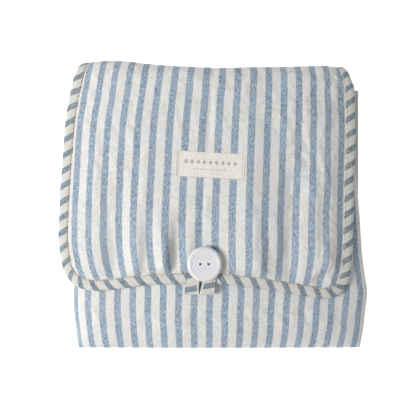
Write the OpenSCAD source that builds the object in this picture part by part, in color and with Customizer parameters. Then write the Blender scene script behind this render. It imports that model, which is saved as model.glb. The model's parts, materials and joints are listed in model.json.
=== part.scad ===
// Padded cloth pouch that holds a folded baby wrap sling, shown closed.
// The pouch lies on its back, +Z is up, the flap's fold is towards +Y.
// The origin is at the middle of the pack's base. Millimetres.

/* [Pouch] */
// Length from the bottom fold to the top fold
pack_l = 243; // [200:1:300]
// Left side of the pouch, from the middle of the pack
pouch_left = 118; // [105:1:130]
// Right side of the pouch, from the middle of the pack
pouch_right = 131; // [118:1:145]
// Thickness of the filled pouch without its flap
pouch_h = 36.7; // [30:0.1:45]
// Distance from the middle to the pouch's mouth
mouth_y = 100; // [90:1:105]
// Radius of the gentle arch over the pouch and the flap
arch_r = 600; // [450:10:1200]

/* [Cloth and wadding] */
// Thickness of one layer of cloth as modelled
cloth_t = 0.6; // [0.5:0.1:0.8]
// Thickness of the pouch's wadding
pouch_wad_t = 3; // [2:0.1:4]
// Thickness of the flap's and the spine's wadding
flap_wad_t = 2.6; // [2:0.1:3.2]

/* [Flap] */
// Left edge of the flap, from the middle of the pack
flap_left = 131; // [124:1:136]
// Right edge of the flap at its lower corner, from the middle of the pack
flap_right = 119.5; // [112:0.5:126]
// Left end of the top fold
fold_left = 112; // [104:1:118]
// Right end of the top fold
fold_right = 116; // [108:1:122]
// Distance from the middle down to the flap's lower edge, at its highest point
flap_edge_y = 65; // [55:1:75]
// Radius of the shallow bow in the lower edge
bow_r = 672; // [500:1:1200]
// How far the bow's centre is to the left
bow_shift = 17.4; // [0:0.1:30]
// Radius of the lower left corner
left_corner_r = 24; // [18:1:30]
// Radius of the lower right corner
right_corner_r = 15; // [12:1:24]
// Visible width of the bias binding
binding_w = 9.5; // [7:0.1:12]
// Gap between the closed flap and the pouch
flap_gap = 0.4; // [0.4:0.1:1]

/* [Button] */
// Diameter of the two-hole button
button_d = 27.6; // [24:0.1:32]
// Thickness of the button
button_t = 4.2; // [3:0.1:5]
// Button's centre, sideways
button_x = -6.2; // [-12:0.1:4]
// Button's centre, up or down the pack
button_y = -47.7; // [-52:0.1:-44]
// Distance between the button's two holes
hole_spacing = 6.7; // [5:0.1:8]
// Radius of each hole
hole_r = 0.95; // [0.8:0.05:1.2]
// Length of the thread shank
shank_l = 3.5; // [3:0.1:5]

/* [Tab] */
// Width of the tab
tab_w = 24; // [20:0.5:28]
// Thickness of the doubled cloth
tab_t = 1.4; // [1:0.1:1.6]
// Middle of the tab at its fold
tab_x = -10.4; // [-14:0.1:-6]
// Lean of the tab to the right, in degrees
tab_lean = 7; // [0:1:10]
// Where the tab turns back over the flap
tab_fold_y = -71.5; // [-73:0.1:-70]
// Width of the buttonhole slit
slit_w = 1.6; // [1.2:0.1:2]
// Width of the stitched edge beside the slit
satin_w = 2.2; // [1.8:0.1:2.6]

/* [Label] */
// Length of the woven label
label_l = 55; // [40:1:65]
// Width of the woven label
label_w = 21; // [16:1:26]
// Label's centre, sideways
label_x = -1.4; // [-10:0.1:10]
// Label's centre, up or down the pack
label_y = 32.9; // [20:0.1:45]
// Turn of the label, in degrees
label_turn = -3.3; // [-6:0.1:6]

/* [Folded wrap] */
// Width of the folded stack
wrap_w = 210; // [190:1:214]
// Length of the folded stack
wrap_l = 194; // [180:1:196]

/* [Hidden] */

$fn = 96;

// colours
stripe_mix = [0.80, 0.83, 0.86];
binding_mix = [0.66, 0.71, 0.76];
lining_cream = [0.93, 0.91, 0.87];
wadding_white = [0.97, 0.97, 0.96];
thread_beige = [0.80, 0.72, 0.60];
label_cream = [0.91, 0.89, 0.85];
button_white = [0.90, 0.90, 0.91];
wrap_sand = [0.86, 0.84, 0.79];

half_l = pack_l / 2;
far = 400; // longer than anything in the pack
eps = 0.01;

// depths below the pouch's own surface, through its three layers
pouch_wad_in = cloth_t;
pouch_lining_in = pouch_wad_in + pouch_wad_t;
pouch_inside = pouch_lining_in + cloth_t;
seam_z = pouch_h / 2;
side_r = pouch_h / 2; // rounded sides and bottom fold
wrap_play = 0.5;
seam_allowance = 7;
seam_play = 2; // keeps the seams clear of the arched lining
touch = 0.02; // between pieces that meet face to face

// depths below the flap's top surface, binding first
flap_outer_in = cloth_t;
flap_wad_in = flap_outer_in + cloth_t;
flap_lining_in = flap_wad_in + flap_wad_t;
flap_under = flap_lining_in + cloth_t;
flap_depth = flap_under + cloth_t;

pouch_under_flap = flap_depth + flap_gap;
flap_top = pouch_h + pouch_under_flap;
arch_centre_z = flap_top - arch_r;

// the two hinge lines of the fold: at the back's edge and at the flap's edge
spine_t = flap_under - flap_outer_in;
hinge_y = half_l - spine_t / 2;
lower_hinge_z = spine_t / 2;
upper_hinge_z = flap_top - (flap_outer_in + flap_under) / 2;
fold_bead_r = spine_t / 2 - 0.05;
hinge_clear = 2.7; // the spine's and the flap's ends stay this far from their hinge
back_end_y = hinge_y - fold_bead_r - 0.4;

// the outline of the flap: corner circles that touch the bow's circle
bow_x = -bow_shift;
bow_y = -flap_edge_y - bow_r;
left_corner_x = -flap_left + left_corner_r;
right_corner_x = flap_right - right_corner_r;
left_corner_y = bow_y + sqrt(pow(bow_r + left_corner_r, 2) - pow(left_corner_x - bow_x, 2));
right_corner_y = bow_y + sqrt(pow(bow_r + right_corner_r, 2) - pow(right_corner_x - bow_x, 2));
left_lean = atan((flap_left - fold_left) / (half_l - left_corner_y));
right_lean = atan((flap_right - fold_right) / (half_l - right_corner_y));
arc_steps = 10;
overrun = 40; // the outline runs on past the fold and is cut there

// the tab: a strap that turns back on a half circle and lies over the flap's edge
tab_floor_gap = 0.1;
tab_low = pouch_h + tab_floor_gap;
tab_over_gap = 0.3;
tab_high = flap_top + tab_over_gap;
tab_turn_r = (tab_high + tab_t - tab_low) / 2;
tab_pivot_z = tab_low + tab_turn_r;
tab_anchor_l = 5.2;
tab_straight_l = 17;
slit_start = -1.2;
slit_l = button_y - tab_fold_y;
shank_hole_r = 2.2;

button_base_z = flap_top - flap_outer_in + shank_l;
shank_r = 1.2;
shank_gap = 0.3; // lets the button tilt
thread_r = 0.8;
thread_proud = 0.5;
patch_r = 11;
patch_t = 0.8;
patch_z = flap_top - flap_lining_in + touch;
stitch_w = 0.5;
stitch_proud = 0.3;

function arc_points(x, y, r, from, to, steps) =
    [for (i = [0 : steps]) let (a = from + (to - from) * i / steps) [x + r * cos(a), y + r * sin(a)]];

// direction in degrees from one point to another
function bearing(x1, y1, x2, y2) = atan2(y2 - y1, x2 - x1);

// the flap's outline, moved in by inset on its three free sides
function flap_points(inset) =
    let (
        to_left = bearing(bow_x, bow_y, left_corner_x, left_corner_y),
        to_right = bearing(bow_x, bow_y, right_corner_x, right_corner_y),
        left_r = left_corner_r - inset,
        right_r = right_corner_r - inset,
        left_arc = arc_points(left_corner_x, left_corner_y, left_r, 180 - left_lean, to_left + 180, arc_steps),
        bow = arc_points(bow_x, bow_y, bow_r + inset, to_left, to_right, 2 * arc_steps),
        right_arc = arc_points(right_corner_x, right_corner_y, right_r, to_right - 180, right_lean, arc_steps),
        rise = half_l + overrun,
        top_right = [
            right_corner_x + right_r / cos(right_lean) - (rise - right_corner_y) * tan(right_lean), rise
        ],
        top_left = [
            left_corner_x - left_r / cos(left_lean) + (rise - left_corner_y) * tan(left_lean), rise
        ]
    )
    concat(left_arc, [for (i = [1 : 2 * arc_steps - 1]) bow[i]], right_arc, [top_right, top_left]);

// height of the flap's top surface at a place across it
function flap_z(x) = arch_centre_z + sqrt(arch_r * arch_r - x * x);

// a profile drawn as (y, z), made into a bar along X
module along_x(from, to) {
    translate([from, 0, 0])
        rotate([90, 0, 90])
            linear_extrude(to - from)
                children();
}

// a profile drawn as (x, z), made into a bar along Y
module along_y(from, to) {
    translate([0, to, 0])
        rotate([90, 0, 0])
            linear_extrude(to - from)
                children();
}

// the filled pouch's surface, moved in by inset, open towards +Y
module pouch_form(inset) {
    intersection() {
        along_x(-far / 2, far / 2)
            union() {
                translate([side_r - half_l, side_r])
                    circle(r = side_r - inset);
                translate([side_r - half_l, inset])
                    square([far, pouch_h - 2 * inset]);
            }
        along_y(-far / 2, far / 2)
            intersection() {
                union() {
                    translate([side_r - pouch_left, side_r])
                        circle(r = side_r - inset);
                    translate([pouch_right - side_r, side_r])
                        circle(r = side_r - inset);
                    translate([side_r - pouch_left, inset])
                        square([pouch_left + pouch_right - 2 * side_r, pouch_h - 2 * inset]);
                }
                translate([0, arch_centre_z])
                    circle(r = arch_r - pouch_under_flap - inset, $fn = 360);
            }
    }
}

module pouch_shell(from, to) {
    difference() {
        pouch_form(from);
        pouch_form(to);
    }
}

// one layer of the pouch's back, with the tongue that runs on to the fold
module back_layer(from, to) {
    intersection() {
        pouch_shell(from, to);
        translate([-far / 2, -far / 2, -1])
            cube([far, far / 2 + mouth_y - 1, seam_z + 1]);
    }
    translate([side_r - pouch_left, mouth_y - 1 - eps, from])
        cube([pouch_left + pouch_right - 2 * side_r, back_end_y - mouth_y + 1 + eps, to - from]);
}

// one layer of the pouch's front
module front_layer(from, to) {
    intersection() {
        pouch_shell(from, to);
        translate([-far / 2, -far / 2, seam_z])
            cube([far, far / 2 + mouth_y - 1, pouch_h]);
    }
}

module back_outer() {
    color(stripe_mix)
        back_layer(0, pouch_wad_in);
}

module back_wadding() {
    color(wadding_white)
        back_layer(pouch_wad_in, pouch_lining_in);
}

module back_lining() {
    color(lining_cream)
        back_layer(pouch_lining_in, pouch_inside);
}

module front_outer() {
    color(stripe_mix)
        front_layer(0, pouch_wad_in);
}

module front_wadding() {
    color(wadding_white)
        front_layer(pouch_wad_in, pouch_lining_in);
}

module front_lining() {
    color(lining_cream)
        front_layer(pouch_lining_in, pouch_inside);
}

// the bound edge of the pouch's mouth, on the front
module mouth_binding() {
    color(binding_mix)
        intersection() {
            pouch_shell(0, pouch_inside);
            translate([-far / 2, mouth_y - 1, seam_z])
                cube([far, 1.6, pouch_h]);
        }
}

// seam allowance inside one side of the pouch
module side_seam(side) {
    edge = side < 0 ? -pouch_left : pouch_right;
    inner = edge - side * (pouch_inside + seam_play);
    color(lining_cream)
        translate([side < 0 ? inner : inner - seam_allowance, side_r - half_l, seam_z - cloth_t])
            cube([seam_allowance, mouth_y - seam_play + half_l - side_r, 2 * cloth_t]);
}

// the folded wrap: many layers of one cloth, shown as the stack's outer shape
module wrap_cloth() {
    color(wrap_sand)
        intersection() {
            pouch_form(pouch_inside + wrap_play);
            translate([(pouch_right - pouch_left - wrap_w) / 2, -wrap_l / 2, 0])
                cube([wrap_w, wrap_l, pouch_h]);
        }
}

// one layer of the spine, the stretch between the two folds
module spine_layer(from, to) {
    along_y(half_l - to, half_l - from)
        intersection() {
            translate([0, arch_centre_z])
                circle(r = arch_r - (flap_top - upper_hinge_z) - hinge_clear, $fn = 360);
            translate([-fold_left, lower_hinge_z + hinge_clear])
                square([fold_left + fold_right, flap_top]);
        }
}

// the cloth rolled round the two hinge lines
module fold_beads() {
    translate([-fold_left, hinge_y, lower_hinge_z])
        rotate([0, 90, 0])
            cylinder(r = fold_bead_r, h = fold_left + fold_right);
    along_y(hinge_y - 1.4, hinge_y + 1.4)
        intersection() {
            arch_band(flap_outer_in + 0.3, flap_under - 0.3);
            translate([-fold_left, 0])
                square([fold_left + fold_right, flap_top]);
        }
}

module spine_outer() {
    color(stripe_mix) {
        spine_layer(0, cloth_t);
        fold_beads();
    }
}

module spine_wadding() {
    color(wadding_white)
        spine_layer(cloth_t, spine_t - cloth_t);
}

module spine_lining() {
    color(lining_cream)
        spine_layer(spine_t - cloth_t, spine_t);
}

// the flap's arch between two depths, drawn as (x, z)
module arch_band(from, to) {
    difference() {
        translate([0, arch_centre_z])
            circle(r = arch_r - from, $fn = 360);
        translate([0, arch_centre_z])
            circle(r = arch_r - to, $fn = 360);
    }
}

// what lies in the flap's arch between two depths
module flap_slice(from, to) {
    intersection() {
        along_y(-half_l, hinge_y - hinge_clear)
            arch_band(from, to);
        translate([0, 0, seam_z])
            linear_extrude(pouch_h)
                children();
    }
}

module flap_outer() {
    color(stripe_mix)
        flap_slice(flap_outer_in, flap_wad_in)
            polygon(flap_points(cloth_t));
}

module flap_wadding() {
    color(wadding_white)
        difference() {
            flap_slice(flap_wad_in, flap_lining_in)
                polygon(flap_points(cloth_t));
            patch_room(0.1);
        }
}

module flap_lining() {
    color(lining_cream)
        flap_slice(flap_lining_in, flap_under)
            polygon(flap_points(cloth_t));
}

// bias strip folded round the flap's three free edges
module flap_binding() {
    color(binding_mix)
        difference() {
            flap_slice(0, flap_depth)
                difference() {
                    polygon(flap_points(0));
                    polygon(flap_points(binding_w));
                }
            flap_slice(flap_outer_in, flap_under)
                polygon(flap_points(cloth_t));
        }
}

// the row of topstitching just inside the binding's inner edge
module binding_topstitch() {
    color(thread_beige)
        flap_slice(-stitch_proud, 0)
            difference() {
                polygon(flap_points(binding_w - 1.3));
                polygon(flap_points(binding_w - 1.3 + stitch_w));
            }
}

module label_place() {
    translate([label_x, label_y])
        rotate(label_turn)
            children();
}

// woven label on the flap
module label() {
    color(label_cream)
        flap_slice(0.1, flap_outer_in)
            label_place()
                square([label_l, label_w], center = true);
}

// short stitches across both ends of the label
module label_stitches() {
    count = 7;
    pitch = label_w / count;
    color(thread_beige)
        flap_slice(0.1 - stitch_proud, 0.1)
            label_place()
                for (side = [-1, 1])
                    for (i = [0 : count - 1])
                        translate([side * (label_l / 2 - 1.5), (i + 0.5) * pitch - label_w / 2])
                            square([stitch_w, 0.7 * pitch], center = true);
}

// the hollow in the wadding that the stiffening patch lies in
module patch_room(gap) {
    translate([button_x, button_y, patch_z - 1])
        cylinder(r = patch_r + gap, h = patch_t + 1 + gap);
}

// stiffening patch behind the button, between the wadding and the lining
module button_patch() {
    color(lining_cream)
        translate([button_x, button_y, patch_z])
            cylinder(r = patch_r, h = patch_t);
}

// wound thread that holds the button off the flap
module button_shank() {
    base = flap_z(button_x) - flap_outer_in + touch;
    color(thread_beige)
        translate([button_x, button_y, base])
            cylinder(r = shank_r, h = button_base_z - base - shank_gap);
}

// turned button: raised rim, rings and a shallow dish, drilled twice
module button() {
    r = button_d / 2;
    edge_r = button_t / 2;
    rings = 5;
    groove = 0.15;
    color(button_white)
        translate([button_x, button_y, button_base_z])
            difference() {
                union() {
                    cylinder(r = r - edge_r, h = button_t);
                    translate([0, 0, edge_r])
                        rotate_extrude()
                            intersection() {
                                translate([r - edge_r, 0])
                                    circle(r = edge_r);
                                translate([0, -edge_r])
                                    square([r, button_t]);
                            }
                }
                for (i = [1 : rings])
                    translate([0, 0, button_t - groove])
                        ring(1.5 + i * (r - edge_r - 2) / rings, 0.35, 2 * groove);
                for (side = [-1, 1])
                    translate([side * hole_spacing / 2, 0, -1])
                        cylinder(r = hole_r, h = button_t + 2);
            }
}

module ring(r, w, h) {
    difference() {
        cylinder(r = r + w, h = h);
        translate([0, 0, -1])
            cylinder(r = r, h = h + 2);
    }
}

// thread through both holes, with the bar that joins them on top
module button_thread() {
    color(thread_beige)
        translate([button_x, button_y, button_base_z]) {
            for (side = [-1, 1])
                translate([side * hole_spacing / 2, 0, 0])
                    cylinder(r = thread_r, h = button_t + thread_proud);
            translate([-hole_spacing / 2, -thread_r, button_t + touch])
                cube([hole_spacing, 2 * thread_r, thread_proud - touch]);
        }
}

// the tab's flat pattern, with its lean, drawn in the frame of the pack
module tab_plan(grow) {
    translate([tab_x, tab_fold_y])
        rotate(-tab_lean)
            union() {
                translate([-tab_w / 2 + grow, -far / 8])
                    square([tab_w - 2 * grow, far / 8 + tab_straight_l]);
                translate([0, tab_straight_l])
                    circle(r = tab_w / 2 - grow);
            }
}

// the slit and the round end that takes the button's shank
module slit_plan(grow) {
    translate([tab_x, tab_fold_y])
        rotate(-tab_lean)
            translate([-slit_w / 2 - grow, slit_start - grow])
                square([slit_w + 2 * grow, slit_l - slit_start + 2 * grow]);
    translate([button_x, button_y])
        circle(r = shank_hole_r + grow);
}

// doubled strap: half circle at the fold, then flat over the flap's edge
module tab() {
    color(binding_mix)
        difference() {
            intersection() {
                along_x(-far / 4, far / 4)
                    tab_side();
                linear_extrude(far / 4)
                    tab_plan(0);
            }
            translate([0, 0, tab_high - 1])
                linear_extrude(far / 4)
                    slit_plan(0);
        }
}

// the strap seen from its side, drawn as (y, z)
module tab_side() {
    difference() {
        translate([tab_fold_y, tab_pivot_z])
            circle(r = tab_turn_r);
        translate([tab_fold_y, tab_pivot_z])
            circle(r = tab_turn_r - tab_t);
        translate([tab_fold_y, 0])
            square([far, far]);
    }
    translate([tab_fold_y, tab_high])
        square([far / 8, tab_t]);
}

// thread worked round the edges of the slit
module buttonhole_stitches() {
    color(label_cream)
        translate([0, 0, tab_high + tab_t])
            linear_extrude(stitch_proud)
                intersection() {
                    difference() {
                        slit_plan(satin_w);
                        slit_plan(0);
                    }
                    tab_plan(0.5);
                    translate([-far / 2, tab_fold_y])
                        square([far, far]);
                }
}

// the end of the strap that is sewn to the pouch's front
module tab_anchor() {
    color(binding_mix)
        translate([0, 0, tab_low])
            linear_extrude(tab_t)
                intersection() {
                    tab_plan(0);
                    translate([-far / 2, tab_fold_y])
                        square([far, tab_anchor_l]);
                }
}

module tab_anchor_stitches() {
    rows = 2;
    color(thread_beige)
        translate([0, 0, tab_low + tab_t])
            linear_extrude(stitch_proud)
                intersection() {
                    tab_plan(1);
                    for (i = [1 : rows])
                        translate([-far / 2, tab_fold_y + i * tab_anchor_l / (rows + 1)])
                            square([far, stitch_w]);
                }
}

back_outer();
back_wadding();
back_lining();
front_outer();
front_wadding();
front_lining();
mouth_binding();
side_seam(-1);  // side_seam_left
side_seam(1);  // side_seam_right
wrap_cloth();
tab_anchor();
tab_anchor_stitches();
spine_outer();
spine_wadding();
spine_lining();
flap_outer();
flap_wadding();
flap_lining();
flap_binding();
binding_topstitch();
label();
label_stitches();
button_patch();
button_shank();
button();
button_thread();
tab();
buttonhole_stitches();
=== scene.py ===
"""Looks for the baby wrap sling in its padded cloth pouch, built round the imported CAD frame.

Lengths are in millimetres in the frame's axes until a mesh is made. Every cloth piece has a UV
map called "cloth", in metres along and across the weave, that its stripes and weave follow.
"""
import json
from math import cos, pi, radians, sin, tan

import bmesh
import bpy
import numpy as np
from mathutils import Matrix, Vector


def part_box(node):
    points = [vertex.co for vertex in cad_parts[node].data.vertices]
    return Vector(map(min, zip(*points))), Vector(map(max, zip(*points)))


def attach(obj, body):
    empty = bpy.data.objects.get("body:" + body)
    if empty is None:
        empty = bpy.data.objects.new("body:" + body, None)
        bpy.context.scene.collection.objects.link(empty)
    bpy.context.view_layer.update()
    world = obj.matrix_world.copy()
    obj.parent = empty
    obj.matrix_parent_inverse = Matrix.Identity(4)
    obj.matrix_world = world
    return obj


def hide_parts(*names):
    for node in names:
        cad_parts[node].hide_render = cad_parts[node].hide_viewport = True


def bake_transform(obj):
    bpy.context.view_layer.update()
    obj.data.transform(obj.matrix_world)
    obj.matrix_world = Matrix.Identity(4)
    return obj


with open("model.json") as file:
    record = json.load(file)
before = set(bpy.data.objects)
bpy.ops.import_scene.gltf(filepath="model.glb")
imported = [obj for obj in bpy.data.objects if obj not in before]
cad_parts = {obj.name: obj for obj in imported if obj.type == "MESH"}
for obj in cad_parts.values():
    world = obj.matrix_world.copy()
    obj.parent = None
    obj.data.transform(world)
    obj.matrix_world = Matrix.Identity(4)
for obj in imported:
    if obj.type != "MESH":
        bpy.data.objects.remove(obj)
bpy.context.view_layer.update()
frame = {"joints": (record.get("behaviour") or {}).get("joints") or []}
MM = 0.001


# ---------------- places taken from the frame

def node_box(*nodes):
    """The lowest and highest corner of these CAD nodes, in millimetres."""
    corners = np.array([[list(c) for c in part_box(n)] for n in nodes]) / MM
    return corners[:, 0].min(0), corners[:, 1].max(0)


def joint_place(name):
    """A joint's place, in millimetres."""
    joint = next(j for j in frame["joints"] if j["name"] == name)
    return np.array(joint["pos_m"], float) / MM


POUCH_LOW, POUCH_HIGH = node_box("front_outer", "back_outer")
BOTTOM_Y = POUCH_LOW[1]
POUCH_TOP = POUCH_HIGH[2]
SEAM_Z = node_box("front_outer")[0][2]
MOUTH_Y = node_box("mouth_binding")[1][1]
LOW_HINGE = joint_place("spine_fold")
HIGH_HINGE = joint_place("flap_fold")
BUTTON_LOW, BUTTON_HIGH = node_box("button")
BUTTON = (BUTTON_LOW + BUTTON_HIGH) / 2
LABEL_LOW, LABEL_HIGH = node_box("label")
LABEL = (LABEL_LOW + LABEL_HIGH) / 2
TAB_HINGE = joint_place("tab_turn")
WRAP_LOW, WRAP_HIGH = node_box("wrap_cloth")

STRIPE = 12.9          # one blue and one cream stripe
ARCH = 1200.0          # the flap and the pouch fall by x squared over this
CLOTH = 0.6            # thickness of one layer of cloth


# ---------------- small helpers

def through(*points):
    """A smooth function through a few points (t, value), level beyond both ends."""
    at, value = np.array(points, float).T
    slope = np.gradient(value, at)

    def curve(t):
        t = np.clip(t, at[0], at[-1])
        i = np.clip(np.searchsorted(at, t, side="right") - 1, 0, len(at) - 2)
        gap = at[i + 1] - at[i]
        f = (t - at[i]) / gap
        ends = (1 + 2 * f) * (1 - f) ** 2 * value[i] + f * f * (3 - 2 * f) * value[i + 1]
        bends = f * (1 - f) ** 2 * slope[i] + f * f * (f - 1) * slope[i + 1]
        return ends + bends * gap

    return curve


def run_along(points):
    """The distance along a line of points to each of them."""
    return np.concatenate([[0], np.cumsum(np.linalg.norm(np.diff(points, axis=0), axis=1))])


def smooth_line(points, step):
    """An even line of points along a smooth curve through the given ones."""
    p = np.array(points, float)
    chord = run_along(p)
    fine = np.linspace(0, chord[-1], 4000)
    dense = np.column_stack([through(*zip(chord, p[:, k]))(fine) for k in range(p.shape[1])])
    run = run_along(dense)
    even = np.linspace(0, run[-1], int(run[-1] / step) + 1)
    return np.column_stack([np.interp(even, run, dense[:, k]) for k in range(p.shape[1])]), even


def ease(t):
    """0 before 0, 1 after 1 and smooth between them."""
    t = np.clip(t, 0, 1)
    return t * t * (3 - 2 * t)


def bell(t):
    return np.exp(-t * t)


def ripple(x, y, wave, seed):
    """Soft irregular waves about `wave` millimetres long, from -1 to 1, the same on every run."""
    rng = np.random.default_rng(seed)
    total = np.zeros(np.broadcast(x, y).shape)
    for _ in range(6):
        angle = rng.uniform(0, pi)
        pitch = wave * rng.uniform(0.7, 1.5)
        turn = rng.uniform(0, 2 * pi)
        total = total + np.sin(2 * pi * (x * cos(angle) + y * sin(angle)) / pitch + turn)
    return total / 4


def unit(v):
    return v / np.maximum(np.linalg.norm(v, axis=-1, keepdims=True), 1e-9)


# ---------------- mesh making

def make_object(name, points, faces, uv, material, smooth=True):
    mesh = bpy.data.meshes.new(name)
    faces = faces.tolist() if isinstance(faces, np.ndarray) else faces
    mesh.from_pydata((np.asarray(points, float) * MM).tolist(), [], faces)
    mesh.validate()
    if uv is not None:
        layer = mesh.uv_layers.new(name="cloth")
        corner = np.zeros(len(mesh.loops), int)
        mesh.loops.foreach_get("vertex_index", corner)
        layer.data.foreach_set("uv", (np.asarray(uv, float) * MM)[corner].ravel())
    mesh.polygons.foreach_set("use_smooth", [smooth] * len(mesh.polygons))
    mesh.materials.append(material)
    made = bpy.data.objects.new(name, mesh)
    bpy.context.scene.collection.objects.link(made)
    return made


def quads(rows, cols, first=0, wrap=False, flip=False):
    """The faces of a grid of vertices, row by row; wrap joins the last column to the first."""
    r, c = np.meshgrid(np.arange(rows - 1), np.arange(cols if wrap else cols - 1), indexing="ij")
    right = (c + 1) % cols
    a, b = r * cols + c, r * cols + right
    face = np.stack([a, a + cols, b + cols, b], -1).reshape(-1, 4) + first
    return face[:, ::-1] if flip else face


def rim(loop, count):
    """Faces that join a loop of vertices to the same loop `count` vertices later."""
    a = np.array(loop)
    b = np.roll(a, -1)
    return np.stack([a, a + count, b + count, b], -1)


def joined_tubes(name, tubes_of_rings, material):
    """Closed tubes, each a stack of rings of points, joined in one mesh."""
    points, faces = [], []
    for rings in tubes_of_rings:
        rows, cols = rings.shape[:2]
        first = len(points)
        last = first + (rows - 1) * cols
        points += rings.reshape(-1, 3).tolist()
        faces += quads(rows, cols, first, wrap=True).tolist()
        faces += [[first + k for k in range(cols)], [last + k for k in range(cols)][::-1]]
    return make_object(name, points, faces, None, material)


def slab(name, top, bottom, uv, material):
    """A closed sheet between two grids of points."""
    rows, cols = top.shape[:2]
    count = rows * cols
    index = np.arange(count).reshape(rows, cols)
    edge = [*index[:-1, 0], *index[-1, :-1], *index[1:, -1][::-1], *index[0, 1:][::-1]]
    faces = [quads(rows, cols), quads(rows, cols, count, flip=True), rim(edge, count)[:, ::-1]]
    points = np.concatenate([top.reshape(-1, 3), bottom.reshape(-1, 3)])
    uvs = np.concatenate([uv.reshape(-1, 2)] * 2)
    return make_object(name, points, np.concatenate(faces), uvs, material)


def sweep(name, rings, uv, material, caps=True):
    """A closed tube through rings of points, one row to a ring."""
    rows, cols = rings.shape[:2]
    made = make_object(name, rings.reshape(-1, 3), quads(rows, cols, wrap=True), uv.reshape(-1, 2), material)
    if caps:
        fill_holes(made)
    return made


def finish_mesh(made, work):
    """Runs work on the object's mesh as a bmesh."""
    mesh = bmesh.new()
    mesh.from_mesh(made.data)
    work(mesh)
    mesh.to_mesh(made.data)
    mesh.free()
    made.data.update()


def fill_holes(made):
    def work(mesh):
        edges = [e for e in mesh.edges if e.is_boundary]
        bmesh.ops.holes_fill(mesh, edges=edges, sides=0)
        bmesh.ops.recalc_face_normals(mesh, faces=mesh.faces)
    finish_mesh(made, work)


def weld(made):
    """Joins the vertices that lie on each other."""
    def work(mesh):
        bmesh.ops.remove_doubles(mesh, verts=mesh.verts, dist=0.02 * MM)
    finish_mesh(made, work)


def apply_modifiers(made):
    """Makes what the modifiers show the object's own mesh."""
    view = bpy.context.evaluated_depsgraph_get()
    view.update()
    mesh = bpy.data.meshes.new_from_object(made.evaluated_get(view))
    made.modifiers.clear()
    made.data = mesh
    return made


def thicken(made, thickness):
    """Gives a skin its cloth's thickness, inwards."""
    m = made.modifiers.new("thickness", "SOLIDIFY")
    m.thickness = thickness * MM
    m.offset = -1
    return apply_modifiers(made)


def stand_for(nodes):
    """Hides the CAD nodes that a piece stands for."""
    if nodes:
        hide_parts(*nodes)


def place(made, body, slot, *nodes):
    """Rides the piece on one body."""
    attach(made, body)
    stand_for(nodes)


def bend(made, a, b, start, end, slot, *nodes):
    """Bakes the piece's transform into its mesh and hides the CAD nodes it stands for. start and end, as (y,
    z), are not used.
    """
    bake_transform(made)
    stand_for(nodes)


SETTLE_FRAMES = 14
SETTLE = {
    "quality": 4, "mass": 0.3, "tension_stiffness": 12, "compression_stiffness": 12, "shear_stiffness": 4,
    "bending_stiffness": 0.01, "use_pressure": True, "uniform_pressure_force": 0.2, "shrink_min": -0.012,
}


def settle(points, held, most):
    """A short cloth simulation of a skin that is a little too large for the edge it is sewn to.

    points is the skin's grid; held is 1 where it is sewn or pressed down and small where it may move.
    Returns each point's movement, at most `most` millimetres long and 0.3 of that downwards."""
    skin = make_object("settling_skin", points.reshape(-1, 3), quads(*points.shape[:2]), None, WADDING)
    group = skin.vertex_groups.new(name="held")
    levels = np.round(np.ravel(held), 2)
    for level in np.unique(levels):
        group.add(np.flatnonzero(levels == level).tolist(), float(level), "REPLACE")
    cloth = skin.modifiers.new("settle", "CLOTH")
    for setting, value in SETTLE.items():
        setattr(cloth.settings, setting, value)
    cloth.settings.vertex_group_mass = "held"
    cloth.settings.effector_weights.gravity = 0
    cloth.collision_settings.use_collision = False
    for number in range(1, SETTLE_FRAMES + 1):
        bpy.context.scene.frame_set(number)
    settled = skin.evaluated_get(bpy.context.evaluated_depsgraph_get()).to_mesh()
    after = np.zeros(len(settled.vertices) * 3)
    settled.vertices.foreach_get("co", after)
    bpy.data.objects.remove(skin)
    bpy.context.scene.frame_set(1)
    move = after.reshape(points.shape) / MM - points
    move = move * np.minimum(1, most / np.maximum(np.linalg.norm(move, axis=-1, keepdims=True), 1e-6))
    move[..., 2] = np.maximum(move[..., 2], -0.3 * most)
    return move


# ---------------- materials

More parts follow.
